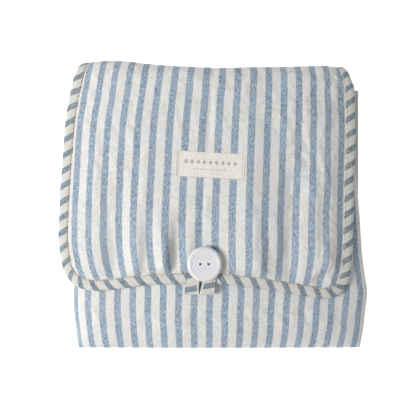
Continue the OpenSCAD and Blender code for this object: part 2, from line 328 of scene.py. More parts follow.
class Nodes:
    """Short ways to add shader nodes to a new material."""

    def __init__(self, name):
        self.material = bpy.data.materials.new(name)
        self.material.use_nodes = True
        self.tree = self.material.node_tree
        self.shader = self.tree.nodes["Principled BSDF"]

    def feed(self, node, inputs):
        """Sets a node's inputs, by name or in order, to plain values or to links from sockets."""
        for key, value in inputs.items() if isinstance(inputs, dict) else enumerate(inputs):
            if isinstance(value, bpy.types.NodeSocket):
                self.tree.links.new(value, node.inputs[key])
            else:
                node.inputs[key].default_value = value

    def add(self, kind, inputs=(), **settings):
        node = self.tree.nodes.new(kind)
        for key, value in settings.items():
            setattr(node, key, value)
        self.feed(node, inputs)
        return node

    def math(self, operation, a, b=0.0, c=0.0):
        return self.add("ShaderNodeMath", (a, b, c), operation=operation).outputs[0]

    def times(self, a, b):
        return self.math("MULTIPLY", a, b)

    def plus(self, a, b):
        return self.math("ADD", a, b)

    def between(self, value, low, high, out_low=0.0, out_high=1.0):
        """A smooth step from out_low to out_high as the value goes from low to high."""
        limits = (value, low, high, out_low, out_high)
        return self.add("ShaderNodeMapRange", limits, interpolation_type="SMOOTHSTEP").outputs[0]

    def mix(self, factor, a, b):
        colours = {"Factor": factor, 6: a, 7: b}
        return self.add("ShaderNodeMix", colours, data_type="RGBA").outputs[2]

    def cloth(self):
        """The cloth's own coordinates in millimetres: across and along."""
        place_at = self.add("ShaderNodeUVMap", uv_map="cloth").outputs[0]
        split = self.add("ShaderNodeSeparateXYZ", (place_at,))
        return self.times(split.outputs[0], 1000), self.times(split.outputs[1], 1000)

    def place(self):
        return self.add("ShaderNodeTexCoord").outputs["Object"]

    def vector(self, x, y):
        return self.add("ShaderNodeCombineXYZ", (x, y)).outputs[0]

    def noise(self, vector, scale, detail, rough=0.5):
        settings = {"Vector": vector, "Scale": scale, "Detail": detail, "Roughness": rough}
        return self.add("ShaderNodeTexNoise", settings).outputs["Fac"]

    def yarn(self, cloth, across, along, detail=3, rough=0.5):
        """Noise drawn out along the threads, at a scale to the millimetre across and along the cloth."""
        drawn = self.vector(self.times(cloth[0], across), self.times(cloth[1], along))
        return self.noise(drawn, 1.0, detail, rough)

    def mean(self, a, b):
        return self.times(self.plus(a, b), 0.5)

    def bump(self, height, strength, distance):
        settings = {"Strength": strength, "Distance": distance, "Height": height}
        return self.add("ShaderNodeBump", settings).outputs[0]

    def glow(self, strength):
        self.feed(self.shader, {"Emission Color": (1, 1, 1, 1), "Emission Strength": strength})

    def look(self, colour, roughness, normal=None, sheen=0.0, specular=0.3):
        settings = {"Base Color": colour, "Roughness": roughness, "Sheen Weight": sheen,
                    "Sheen Roughness": 0.5, "Specular IOR Level": specular}
        if normal is not None:
            settings["Normal"] = normal
        self.feed(self.shader, settings)
        return self.material


def weave_height(n, cloth, pitch):
    """A plain weave's over-and-under, with uneven threads."""
    turn = 2 * pi / pitch
    warp, weft = (n.math("SINE", n.times(place_at, turn)) for place_at in cloth)
    threads = n.plus(n.yarn(cloth, 1.6, 0.12), n.yarn(cloth, 0.12, 1.6))
    return n.math("MULTIPLY_ADD", n.times(warp, weft), 0.25, threads)


def ticking(name, cream, blue, pale_blue, share):
    """Blue stripes of heathered yarn on cream, one stripe's middle at each whole STRIPE across.

    share is half a blue stripe's width, as a part of STRIPE."""
    n = Nodes(name)
    cloth = n.cloth()
    waver = n.math("MULTIPLY_ADD", n.yarn(cloth, 0.3, 1.1, 2), 0.9, -0.45)
    place_in = n.math("FRACT", n.plus(n.math("DIVIDE", n.plus(cloth[0], waver), STRIPE), 0.5))
    off_middle = n.math("ABSOLUTE", n.math("SUBTRACT", place_in, 0.5))
    stripe = n.between(off_middle, share + 0.022, share - 0.022)

    cross_fleck = n.times(n.yarn(cloth, 0.5, 1.05, 3, 0.75), 0.42)
    mixed = n.math("MULTIPLY_ADD", n.yarn(cloth, 1.25, 0.3, 3, 0.75), 0.58, cross_fleck)
    heather = n.mix(n.between(mixed, 0.42, 0.58), blue, pale_blue)
    uneven_dye = n.between(n.yarn(cloth, 0.05, 0.03, 2), 0.35, 0.7, 0.0, 0.25)
    heather = n.mix(uneven_dye, heather, pale_blue)

    slub = n.mean(n.yarn(cloth, 1.0, 0.18, 4, 0.7), n.yarn(cloth, 0.2, 1.0, 4, 0.7))
    warm = [c * f for c, f in zip(cream, (0.87, 0.86, 0.84, 1))]
    ground = n.mix(n.between(slub, 0.43, 0.60), cream, warm)
    normal = n.bump(weave_height(n, cloth, 0.55), 0.35, 0.00022)
    return n.look(n.mix(stripe, ground, heather), 0.92, normal, sheen=0.08, specular=0.15)


def plain_cloth(name, colour, shade, pitch=0.5, diagonal=False, bump=0.35):
    """One-colour cloth with thick and thin threads; diagonal gives a wrap's broken twill."""
    n = Nodes(name)
    cloth = across, along = n.cloth()
    mottle = n.mean(n.yarn(cloth, 0.12, 1.3, 3, 0.6), n.yarn(cloth, 1.3, 0.12, 3, 0.6))
    mottle = n.between(mottle, 0.38, 0.64)
    height = weave_height(n, cloth, pitch)
    if diagonal:
        twill = n.math("SINE", n.times(n.plus(across, along), 2 * pi / 2.4))
        mottle = n.math("MULTIPLY_ADD", twill, 0.18, mottle)
        height = n.math("MULTIPLY_ADD", twill, 0.3, height)
    normal = n.bump(height, bump, 0.00022)
    return n.look(n.mix(mottle, colour, shade), 0.93, normal, sheen=0.08, specular=0.15)


def wadding_look(name):
    n = Nodes(name)
    fluff = n.noise(n.place(), 900, 6, 0.7)
    clump = n.noise(n.place(), 90, 3, 0.5)
    colour = n.mix(clump, (0.90, 0.90, 0.89, 1), (0.80, 0.80, 0.79, 1))
    return n.look(colour, 1.0, n.bump(fluff, 0.7, 0.0008), sheen=0.2, specular=0.05)


def thread_look(name, colour, shade):
    """Twisted sewing thread."""
    n = Nodes(name)
    ply = n.noise(n.place(), 1400, 3, 0.6)
    return n.look(n.mix(ply, colour, shade), 0.7, n.bump(ply, 0.6, 0.0002), sheen=0.1, specular=0.3)


def label_look(name):
    """Ribbed cotton tape with a woven row of small lozenges, which stands for the maker's words."""
    n = Nodes(name)
    cloth = across, along = n.cloth()
    rib = n.math("SINE", n.times(across, 2 * pi / 0.42))
    slub = n.yarn(cloth, 1.8, 0.2, 3, 0.6)
    tape = n.mix(n.between(slub, 0.4, 0.66), (0.82, 0.785, 0.73, 1), (0.73, 0.69, 0.62, 1))

    def lozenges(centre, pitch, half_width, half_height, reach):
        cell = n.math("SUBTRACT", n.math("FRACT", n.plus(n.math("DIVIDE", across, pitch), 0.5)), 0.5)
        wide = n.math("DIVIDE", n.math("ABSOLUTE", n.times(cell, pitch)), half_width)
        tall = n.math("DIVIDE", n.math("ABSOLUTE", n.math("SUBTRACT", along, centre)), half_height)
        shape = n.between(n.plus(wide, tall), 1.15, 0.85)
        inside = n.math("LESS_THAN", n.math("ABSOLUTE", across), reach)
        return n.times(shape, inside)

    large = lozenges(2.2, 5.0, 1.7, 2.1, 22.4)
    small = lozenges(-3.6, 2.5, 0.75, 0.75, 13.7)
    motif = n.math("MAXIMUM", n.times(large, 0.85), n.times(small, 0.75))
    colour = n.mix(motif, tape, (0.40, 0.37, 0.33, 1))
    height = n.math("MULTIPLY_ADD", rib, 0.2, n.plus(slub, motif))
    return n.look(colour, 0.85, n.bump(height, 0.4, 0.0002), sheen=0.1, specular=0.2)


def button_look(name):
    """Turned off-white resin with faint lathe rings."""
    n = Nodes(name)
    across, along = n.cloth()
    run = n.math("SQRT", n.plus(n.math("POWER", across, 2.0), n.math("POWER", along, 2.0)))
    rings = n.noise(n.vector(n.times(run, 3.0), 0.0), 1.0, 3, 0.6)
    cloud = n.noise(n.vector(across, along), 0.12, 3)
    colour = n.mix(cloud, (0.78, 0.78, 0.80, 1), (0.70, 0.70, 0.725, 1))
    material = n.look(colour, 0.28, n.bump(rings, 0.25, 0.0002), specular=0.5)
    n.feed(n.shader, {"Subsurface Weight": 0.08, "Subsurface Radius": (0.003, 0.003, 0.003),
                      "Coat Weight": 0.35, "Coat Roughness": 0.15})
    return material


def floor_look():
    n = Nodes("pale_floor")
    grain = n.noise(n.place(), 60, 4)
    n.glow(0.62)
    return n.look(n.mix(grain, (0.93, 0.93, 0.93, 1), (0.95, 0.95, 0.95, 1)), 0.9, specular=0.1)


TICKING = ticking("stripe_ticking", cream=(0.748, 0.741, 0.727, 1), blue=(0.155, 0.222, 0.30, 1),
                  pale_blue=(0.445, 0.522, 0.60, 1), share=0.22)
# The binding's colours are darker and greyer than the main ticking's: partly its denser bias-cut cloth,
# partly painted shade for the shade along the flap's bound edges.
BINDING = ticking("bias_ticking_with_painted_shade", cream=(0.67, 0.655, 0.62, 1), blue=(0.105, 0.145, 0.18, 1),
                  pale_blue=(0.33, 0.39, 0.44, 1), share=0.205)
LINING = plain_cloth("cream_lining", (0.74, 0.72, 0.68, 1), (0.66, 0.635, 0.59, 1))
WRAP = plain_cloth("wrap_weave", (0.70, 0.655, 0.57, 1), (0.58, 0.53, 0.445, 1), 0.9, True, 0.5)
WADDING = wadding_look("polyester_wadding")
# The topstitch thread's dark warm beige is partly the thread's own colour and partly painted shade for the
# shadow in the fold at the binding's inner edge; the label and tab stitches share it.
THREAD_AND_PAINTED_SHADE = thread_look("beige_thread_and_painted_shade", (0.50, 0.39, 0.27, 1), (0.62, 0.51, 0.38, 1))
WHITE_THREAD = thread_look("white_thread", (0.86, 0.84, 0.79, 1), (0.72, 0.70, 0.65, 1))
LABEL_TAPE = label_look("woven_tape")
BUTTON_RESIN = button_look("turned_resin")


# ---------------- the pouch's own surface

SIDE_R = 18.0
pouch_left = through((-121.5, -114.3), (-108, -115.8), (-90, -118), (-60, -118), (0, -117), (100, -113))
pouch_right = through((-121.5, 126.5), (-105, 129.3), (-90, 131), (-72, 132.7), (-60, 130.8), (-45, 128.8),
                      (-10, 126.4), (20, 123.9), (50, 121.2), (85, 119.2), (100, 116.5))


def rounding(distance, r):
    """Share of the full height at a distance in from a rounded edge."""
    return np.sqrt(np.maximum(0, 1 - (1 - np.clip(distance / r, 0, 1)) ** 2))


def front_relief(x, y):
    """Shallow waves of the filled front."""
    low = ease((-40 - y) / 30)
    return low * (0.5 * ripple(x, 0.35 * y, 70, 11) + 0.22 * ripple(x, 0.6 * y, 26, 12))


def pouch_at(share, y, front, inset=0.0):
    """Points of the pouch at a share of the way across, on its front or its back."""
    left, right = pouch_left(y) + inset, pouch_right(y) - inset
    x = left + (right - left) * share
    from_side = np.minimum(x - left, right - x)
    full = rounding(from_side, SIDE_R - inset) * rounding(y - BOTTOM_Y - inset, SIDE_R - inset)
    if front:
        rise = POUCH_TOP - x * x / ARCH - inset - SEAM_Z + front_relief(x, y)
        z = SEAM_Z + rise * full
    else:
        z = SEAM_Z - (SEAM_Z - inset) * full
    return np.stack(np.broadcast_arrays(x, y, z), -1)


def even_across(step):
    """Shares across the pouch at even steps along the cloth, and their places on the cloth."""
    share = np.linspace(0, 1, 3000)
    line = pouch_at(share, np.full(3000, -80.0), True)
    run = run_along(line)
    even = np.linspace(0, run[-1], int(run[-1] / step) + 1)
    return np.interp(even, run, share), even


FLAP_OVER_Y = -88.0    # the flap and the tab lie on the pouch's front above this


def pouch_held(x, y):
    """1 at the pouch's edges and under the flap, small on the free part of its front."""
    from_side = np.minimum(x - pouch_left(y), pouch_right(y) - x)
    edges = np.maximum(ease(1.3 - from_side / 14), ease(1.3 - (y - BOTTOM_Y) / 14))
    return np.maximum(0.08, np.maximum(edges, ease((y - FLAP_OVER_Y) / 10)))


def pouch_tube(name, step, inset, first_y, material, stripe_start):
    """The pouch as one skin from its mouth to its bottom fold, front and back."""
    share, cloth_x = even_across(step)
    straight = np.arange(first_y, BOTTOM_Y + SIDE_R, -step)
    fold = BOTTOM_Y + inset + (SIDE_R - inset) * (1 - np.sin(np.linspace(0, pi / 2, 16)))
    y = np.concatenate([straight, fold[1:]])
    yy, ss = np.meshgrid(y, share, indexing="ij")
    front = pouch_at(ss, yy, True, inset)
    if inset == 0:
        front = front + settle(front, pouch_held(front[..., 0], yy), 1.6)
    back = pouch_at(ss, yy, False, inset)[:, ::-1]
    uv_front = np.stack([np.broadcast_to(cloth_x - stripe_start, yy.shape), yy], -1)
    uv_back = np.stack([uv_front[..., 0][:, ::-1], 2 * BOTTOM_Y - yy], -1)
    rings = np.concatenate([front, back[:, 1:-1]], 1)
    uv = np.concatenate([uv_front, uv_back[:, 1:-1]], 1)
    made = sweep(name, rings, uv, material, caps=False)
    weld(made)
    return made


def make_pouch():
    outer = thicken(pouch_tube("pouch_cover", 1.8, 0.0, MOUTH_Y - 1, TICKING, 4.2), CLOTH)
    place(outer, "pouch", "stripe_cloth", "front_outer", "back_outer")
    lining = thicken(pouch_tube("pouch_lining", 3.0, 3.7, MOUTH_Y - 1, LINING, 0.0), CLOTH)
    place(lining, "pouch", "lining_cloth", "front_lining", "back_lining")
    wadding = thicken(pouch_tube("pouch_wadding", 4.0, 1.2, MOUTH_Y - 3, WADDING, 0.0), 2.3)
    place(wadding, "pouch", "wadding", "front_wadding", "back_wadding")


# ---------------- the flap and spine's surface

LAYER_Z = HIGH_HINGE[2]     # middle of the flap's thickness, at x = 0
TONGUE_Z = LOW_HINGE[2]     # middle of the back's thickness
HALF_THICK = 1.9
FOLD_START_Y = 98.0         # the flap's flat stretch ends here and the turn to the spine begins
FOLD_R = 13.0
FOLD_RUN = 34.0             # nominal cloth from there to the middle of the spine
MID_SPINE = FOLD_START_Y + FOLD_RUN
TONGUE_END = MID_SPINE + FOLD_RUN

fold_y = through((-116, 117.5), (-108, 119.4), (-98, 120.0), (-75, 118.8), (-50, 115.2), (-25, 113.0),
                 (5, 112.0), (40, 112.8), (80, 114.4), (106, 115.9), (112.5, 115.3), (118, 110))


def cover_at(x, t, h):
    """Points on the flap and spine. t is the pack's y on the flap; past FOLD_START_Y it goes on along
    the cloth, round the top fold to MID_SPINE and round the lower turn to TONGUE_END. h is the height
    above the middle of the thickness."""
    x, t, h = np.broadcast_arrays(np.asarray(x, float), t, h)
    top = LAYER_Z - x * x / ARCH
    middle = (top + TONGUE_Z) / 2
    edge = fold_y(x)
    r = np.minimum(FOLD_R, 0.45 * (top - TONGUE_Z))
    lower = t > MID_SPINE
    run = np.where(lower, TONGUE_END - t, t - FOLD_START_Y) / FOLD_RUN
    run = np.clip(run, 0, 1)
    flat = edge - r - FOLD_START_Y
    arc = pi / 2 * r
    rise = top - r - middle
    gone = run * (flat + arc + rise)
    turn = np.clip((gone - flat) / r, 0, pi / 2)
    up = np.clip(gone - flat - arc, 0, None)
    y = FOLD_START_Y + np.minimum(gone, flat) + r * np.sin(turn)
    drop = r * (1 - np.cos(turn)) + up
    z = np.where(lower, TONGUE_Z + drop, top - drop)
    y = np.where(t < FOLD_START_Y, t, y)
    y = np.where(t > TONGUE_END, FOLD_START_Y - (t - TONGUE_END), y)
    tilt = np.where(lower, 0, x / (ARCH / 2)) * np.cos(turn)
    out = np.stack([tilt, np.sin(turn), np.where(lower, -1, 1) * np.cos(turn)], -1)
    return np.stack([x, y, z], -1) + unit(out) * h[..., None]


OUTLINE_POINTS = [
    (-113.5, MID_SPINE), (-114.5, 118), (-117, 106), (-120.3, 93), (-124.7, 61), (-128, 17), (-129.8, -16),
    (-128.8, -39), (-124.5, -56.5), (-116.7, -66.2), (-104.5, -70.8), (-89, -71), (-66, -67.6), (-44, -65.5),
    (-20, -64.7), (9, -65.5), (33, -68), (57, -71.7), (78, -75.6), (96, -77.8), (106, -75.5), (113, -68),
    (116.6, -56), (117.8, -44), (119.6, 16), (121, 61), (119.8, 96), (117.6, 112), (115.6, MID_SPINE),
]
OUTLINE, OUTLINE_RUN = smooth_line(OUTLINE_POINTS, 1.2)
BINDING_W = 9.5

grain_left = through((-85, -102), (-68, -108.5), (-58, -113.5), (-39, -118.6), (-5, -119.4), (33, -117.4),
                     (65, -115.3), (98, -109.9), (118, -106.5), (166, -104))
grain_right = through((-85, 97), (-70, 102.5), (-50, 107.6), (-5, 109.6), (39, 110.8), (83, 111.3),
                      (107, 110.5), (166, 107))
STRIPES_ACROSS = 17.73      # stripes between the two grain lines
FIRST_STRIPE = 0.024        # share of the way across at the first blue stripe's middle
LOWER_EDGE = -36.0          # the outline below this is the flap's lower edge and its two corners
SPINE_W = 228.0
TUCK = 3.0                  # cloth past the tongue's end, inside the seam to the back


def outline_inwards():
    along = np.gradient(OUTLINE, axis=0)
    return unit(np.stack([-along[:, 1], along[:, 0]], -1))


INWARDS = outline_inwards()


def edge_distance(x, t):
    """Distance in from the flap's outline."""
    flat_x, flat_t = np.ravel(x), np.ravel(np.minimum(t, MID_SPINE - 1))
    nearest = np.full(len(flat_x), 1e9)
    for px, pt in OUTLINE[::2]:
        nearest = np.minimum(nearest, (flat_x - px) ** 2 + (flat_t - pt) ** 2)
    return np.sqrt(nearest).reshape(np.shape(x))


# folds that run up the flap: (x at its lower end, x at its upper end, lowest t, highest t, width, height)
FLAP_FOLDS = [
    (-81, -84, -70, 0, 6, -1.0), (-69, -67, -70, 20, 6.5, 1.3), (-57, -54, -70, -5, 4.5, -1.3),
    (-44.5, -43, -70, 15, 6, 1.3), (-32, -29, -70, -8, 4.5, -1.4), (-21, -19, -66, -20, 5.5, 0.9),
    (16, 24, -66, 30, 12, 1.0), (48, 40, -66, 40, 9, -1.5), (70, 77, -70, 35, 9, 1.6),
    (88, 92, -70, 10, 5, -1.2), (62, 66, 40, 100, 10, 1.0), (82, 84, 25, 100, 8, -1.1),
    (-62, -66, 30, 110, 16, 0.8), (-88, -90, 20, 112, 9, 0.8), (34, 34, 10, 100, 9, 0.5),
    (-62, -60, -70, 0, 7, 1.2), (-37, -35, -66, 0, 7, 1.6), (46, 43, -62, 35, 17, 1.7),
    (96, 93, -45, 95, 8.5, 2.5), (-97, -97, -45, 100, 9, 0.7),
    (-73, -74, -66, 25, 8.5, -1.5), (-57, -56, -66, 25, 5.5, 1.2), (-38, -37, -66, -20, 5, 1.5),
    (-28, -27, -66, -10, 5, -0.7), (36, 34, -62, 70, 14, 1.7), (65, 66, -66, 25, 9, -2.2),
    (88, 79, -50, 90, 7.5, 2.2),
]
PUFF = 2.3             # how far the wadding lifts the cover inside its binding
CREASE_W = 4.5
CREASE_DEPTH = 1.5
UNDER_TAB_Y = -62.0    # middle of the stretch of the flap that lies under the tab
crease_x = through((-50, -9), (-28, -10), (10, -7), (33, -4.5), (75, -1.5), (112, 1))


def flap_relief(x, t):
    """Height of the flap's outer cloth above its sewn-down edge."""
    inside = np.clip(edge_distance(x, t) - BINDING_W + 1.5, 0, None)
    puff = PUFF * (1 - np.exp(-inside / 8))
    button = np.hypot((x - BUTTON[0]) / 24, (t - BUTTON[1]) / 20)
    height = puff * (1 - 0.85 * bell(button))
    room = ease(inside / 8)
    for x_low, x_high, t_low, t_high, width, amount in FLAP_FOLDS:
        f = np.clip((t - t_low) / (t_high - t_low), 0, 1)
        centre = x_low + (x_high - x_low) * f
        fade = ease((t_high + 15 - t) / 40) * ease((t - t_low + 15) / 15) * (1 + 0.8 * ease((-10 - t) / 35))
        height = height + room * fade * amount * bell((x - centre) / width)
    across = x - crease_x(t)
    crease = np.exp(-np.abs(across) / CREASE_W)
    height = height - 1.1 * room * bell((t - 90) / 12)
    under_label = bell((x - LABEL[0]) / 30) * bell((t - LABEL[1]) / 14)
    depth = CREASE_DEPTH * (1 - 0.85 * under_label)
    height = height - depth * crease * room * ease((t + 62) / 20) * ease((MID_SPINE - 8 - t) / 14)
    sewn = np.exp(-inside / 5)
    height = height + 0.35 * sewn * ripple(x, t, 9, 21) * ease(inside / 2)
    height = height + 0.35 * room * ripple(x, 0.5 * t, 42, 22) + 0.12 * room * ripple(x, 0.7 * t, 15, 23)
    return height


def outer_height(x, t):
    """Height of the outer cloth; flat where it is sewn under the pouch's back."""
    least = 0.5
    height = least + np.logaddexp(0, (HALF_THICK + flap_relief(x, t) - 0.4 - least) / 0.4) * 0.4
    under = ease((t - MID_SPINE - 4) / 14)
    return height * (1 - under) + np.minimum(height, TONGUE_Z - 0.1) * under


def ticking_grid(u, t):
    """Grid lines at shares u of the way across the ticking: x, t and cloth places."""
    wide = u - 0.05 * np.sin(2 * pi * u) / (2 * pi)
    x = grain_left(t) + (grain_right(t) - grain_left(t)) * wide
    across = np.broadcast_to((u - FIRST_STRIPE) * STRIPES_ACROSS * STRIPE, t.shape)
    return x, t, np.stack([across, t], -1)


def flap_grid(step, inset):
    """Grid lines of the flap, cut along a line `inset` inside its outline and as far as MID_SPINE."""
    line = OUTLINE + INWARDS * inset
    left, right = grain_left(line[:, 1]), grain_right(line[:, 1])
    share = (line[:, 0] - left) / (right - left)
    low = np.flatnonzero(line[:, 1] < LOWER_EDGE)
    order = np.maximum.accumulate(share[low])
    columns = int((OUTLINE[:, 0].max() - OUTLINE[:, 0].min()) / step)
    u = np.linspace(order[0], order[-1], columns)
    bottom = np.interp(u, order + np.arange(len(order)) * 1e-9, line[low, 1])
    v = np.linspace(0, 1, int((MID_SPINE - bottom.min()) / step))[:, None]
    return ticking_grid(u, MID_SPINE + (bottom[None, :] - MID_SPINE) * v)


def spine_grid(step, inset):
    """Grid lines of the spine's lower half, from its middle to the end of the tongue."""
    left, right = grain_left(MID_SPINE), grain_right(MID_SPINE)
    ends = [(x - left) / (right - left) for x in (OUTLINE[0, 0] + inset, OUTLINE[-1, 0] - inset)]
    u = np.linspace(*ends, int(SPINE_W / step))
    t = np.linspace(MID_SPINE, TONGUE_END + TUCK, int((FOLD_RUN + TUCK) / step))[:, None] * np.ones(len(u))
    return tuple(part[::-1] for part in ticking_grid(u, t))


# the two bodies on either side of each fold, and where the fold starts and ends, as (y, z)
FLAP_BEND = ("spine", "flap", (fold_y(0) + 1, 27.0), (fold_y(0) - 13, 41.0))
SPINE_BEND = ("pouch", "spine", (fold_y(0) - 13, 0.5), (fold_y(0) + 1, 14.5))


def make_layer(name, grid, high, low, material, span, slot, *nodes):
    """One layer of the flap or spine between two heights."""
    x, t, uv = grid
    top = cover_at(x, t, high(x, t))
    bottom = cover_at(x, t, low(x, t))
    made = slab(name, top, bottom, uv, material)
    bend(made, *span, slot, *nodes)
    return made


def underside(x, t):
    """Height of the lining's lower face."""
    inside = np.clip(edge_distance(x, t) - BINDING_W, 0, None)
    return -HALF_THICK + 0.5 * np.exp(-inside / 6) + 0.12 * ripple(x, t, 30, 31)


def held_down(x, t):
    """1 where the flap's cover is sewn, or lies under the label, the tab and the button."""
    inside = edge_distance(x, t) - BINDING_W
    label = ease(1.6 - np.maximum(np.abs(x - LABEL[0]) / 40, np.abs(t - LABEL[1]) / 18))
    button = ease(2.2 - 1.2 * np.hypot(x - BUTTON[0], t - BUTTON[1]) / 22)
    tab = ease(1.6 - np.maximum(np.abs(x - TAB_X) / 20, np.abs(t - UNDER_TAB_Y) / 26))
    seams = np.maximum(ease(1 - inside / 3), ease((t - MID_SPINE + 12) / 8))
    return np.maximum(0.08, np.maximum.reduce([label, button, tab, seams]))


def make_flap_cover(grid):
    x, t, uv = grid
    top = cover_at(x, t, outer_height(x, t))
    move = settle(top, held_down(x, t), 2.0)
    bottom = cover_at(x, t, outer_height(x, t) - CLOTH)
    made = slab("flap_cover", top + move, bottom + move, uv, TICKING)
    bend(made, *FLAP_BEND, "stripe_cloth", "flap_outer")


def under_cover(x, t):
    """Height of the outer cloth's lower face."""
    return outer_height(x, t) - CLOTH


def over_lining(x, t):
    """Height of the lining's upper face."""
    return underside(x, t) + CLOTH


def make_flap():
    make_flap_cover(flap_grid(1.5, 4.5))
    make_layer("flap_fill", flap_grid(3.0, 5.0),
               lambda x, t: np.maximum(under_cover(x, t) - 0.9, over_lining(x, t) + 0.4),
               lambda x, t: over_lining(x, t) + 0.1,
               WADDING, FLAP_BEND, "wadding", "flap_wadding")
    make_layer("flap_inside", flap_grid(2.5, 4.5), over_lining, underside,
               LINING, FLAP_BEND, "lining_cloth", "flap_lining")
    make_layer("spine_cover", spine_grid(2.0, 4.5), outer_height, under_cover,
               TICKING, SPINE_BEND, "stripe_cloth", "spine_outer")
    make_layer("spine_fill", spine_grid(4.0, 5.0),
               lambda x, t: under_cover(x, t) - 0.1,
               lambda x, t: over_lining(x, t) + 0.1,
               WADDING, SPINE_BEND, "wadding", "spine_wadding")
    make_layer("spine_inside", spine_grid(2.5, 4.5), over_lining, underside,
               LINING, SPINE_BEND, "lining_cloth", "spine_lining")


# ---------------- binding, stitches

# the folded tape's section: (distance in from the outline, height)
TAPE_SECTION = [
    (9.6, 1.1), (9.4, 1.9), (8.8, 2.3), (7.4, 2.5), (5.6, 2.6), (3.8, 2.5), (2.2, 2.1), (1.0, 1.4),
    (0.3, 0.5), (0.0, -0.3), (0.3, -1.1), (1.2, -1.9), (2.6, -2.3), (4.6, -2.4), (6.8, -2.4), (8.8, -2.3),
    (9.5, -1.9), (9.6, -0.8),
]
TAPE_PITCH = 13.3      # one blue and one cream band along the tape
BIAS = 0.65            # how far the bands slant


def tape_rings(line, inwards, run):
    """Rings of points and cloth places for a length of binding."""
    section = np.array(TAPE_SECTION)
    around = run_along(section)
    inward = section[:, 0][None, :]
    swell = 1 + 0.10 * ripple(run, 0 * run, 21, 41)[:, None] + 0.05 * ripple(run, 0 * run, 8, 42)[:, None]
    shift = 0.35 * ripple(run, 0 * run, 34, 43)[:, None]
    x = line[:, 0][:, None] + inwards[:, 0][:, None] * (inward + shift)
    t = line[:, 1][:, None] + inwards[:, 1][:, None] * (inward + shift)
    pressed = 0.25 * np.exp(-(((x - TAB_X) / 12) ** 4)) * (t < 0)
    height = section[:, 1][None, :] * swell * (1 - 0.32 * ease((t - MID_SPINE - 4) / 14)) * (1 - pressed)
    points = cover_at(x, t, height)
    across = (run[:, None] + BIAS * (around[9] - around[None, :])) * STRIPE / TAPE_PITCH
    uv = np.stack([across, np.broadcast_to(around, across.shape)], -1)
    return points, uv


def make_binding():
    points, uv = tape_rings(OUTLINE, INWARDS, OUTLINE_RUN)
    tape = sweep("flap_edge_tape", points, uv, BINDING)
    bend(tape, *FLAP_BEND, "binding_cloth", "flap_binding")
    for side, end, name in ((1, 0, "left"), (-1, -1, "right")):
        length = np.linspace(0, FOLD_RUN + 1, 30)
        line = np.stack([OUTLINE[end, 0] + side * 0.03 * length, MID_SPINE + length], -1)
        line, length = line[::side], length[::side]
        inward = np.tile([float(side), 0.0], (len(length), 1))
        run = OUTLINE_RUN[end] - side * length
        points, uv = tape_rings(line, inward, run)
        part = sweep("spine_edge_tape_" + name, points, uv, BINDING)
        bend(part, *SPINE_BEND, "binding_cloth")


def beads(name, centres, directions, ups, size):
    """Many small rounded stitches of one (length, width, height), joined in one mesh."""
    length, width, height = size
    ring = np.linspace(0, 2 * pi, 6, endpoint=False)[:, None]
    stations = [(-0.5, 0.35), (-0.38, 0.85), (0, 1.0), (0.38, 0.85), (0.5, 0.35)]
    stitches = []
    for c, d, s, u in zip(centres, directions, np.cross(directions, ups), ups):
        girth = s * np.cos(ring) * width / 2 + u * np.sin(ring) * height / 2
        stitches.append(np.array([c + d * along * length + girth * share for along, share in stations]))
    # The stitches' dark beige is partly painted shade for the shadow along the binding's fold.
    return joined_tubes(name, stitches, THREAD_AND_PAINTED_SHADE)


def make_topstitch():
    """Stitches that hold the binding's inner edge, one by one along the flap."""
    pitch, inset, height = 3.4, 8.5, 2.42
    line = OUTLINE + INWARDS * inset
    run = run_along(line)
    at = np.arange(pitch, run[-1] - pitch, pitch)
    x, t = np.interp(at, run, line[:, 0]), np.interp(at, run, line[:, 1])
    ahead_x, ahead_t = np.interp(at + 1, run, line[:, 0]), np.interp(at + 1, run, line[:, 1])
    here = cover_at(x, t, np.full(len(x), height))
    ahead = cover_at(ahead_x, ahead_t, np.full(len(x), height))
    above = cover_at(x, t, np.full(len(x), height + 1))
    stitches = beads("topstitching", here, unit(ahead - here), unit(above - here), (2.7, 0.75, 0.6))
    bend(stitches, *FLAP_BEND, "thread", "binding_topstitch")


# ---------------- label

LABEL_TURN = radians(-3.3)
LABEL_SIZE = (55.0, 21.0)
SMALL_STITCH = (2.0, 0.5, 0.4)


def on_flap(a, b, lift):
    """Points over the flap's outer cloth, a along and b across the label."""
    x = LABEL[0] + a * cos(LABEL_TURN) - b * sin(LABEL_TURN)
    t = LABEL[1] + a * sin(LABEL_TURN) + b * cos(LABEL_TURN)
    return cover_at(x, t, outer_height(x, t) + lift)


def make_label():
    long, wide = LABEL_SIZE
    a, b = np.meshgrid(np.linspace(-long / 2, long / 2, 56), np.linspace(wide / 2, -wide / 2, 22))
    wave = 0.12 * ripple(a, b, 18, 51)
    top = on_flap(a, b, 0.5 + wave)
    bottom = on_flap(a, b, 0.12 + wave)
    tape = slab("woven_label", top, bottom, np.stack([a, b], -1), LABEL_TAPE)
    place(tape, "flap", "label_tape", "label")
    centres, directions, ups = [], [], []
    stitches_at_an_end = 8
    for side in (-1, 1):
        for k in range(stitches_at_an_end):
            at_a = side * (long / 2 - 1.6)
            at_b = (k + 0.5) * wide / stitches_at_an_end - wide / 2
            here = on_flap(np.array(at_a), np.array(at_b), 0.6)
            ahead = on_flap(np.array(at_a), np.array(at_b + 1), 0.6)
            centres.append(here)
            directions.append(unit(ahead - here))
            ups.append(np.array([0.0, 0.0, 1.0]))
    stitches = beads("label_sewing", np.array(centres), np.array(directions), np.array(ups), SMALL_STITCH)
    place(stitches, "flap", "thread", "label_stitches")


# ---------------- button

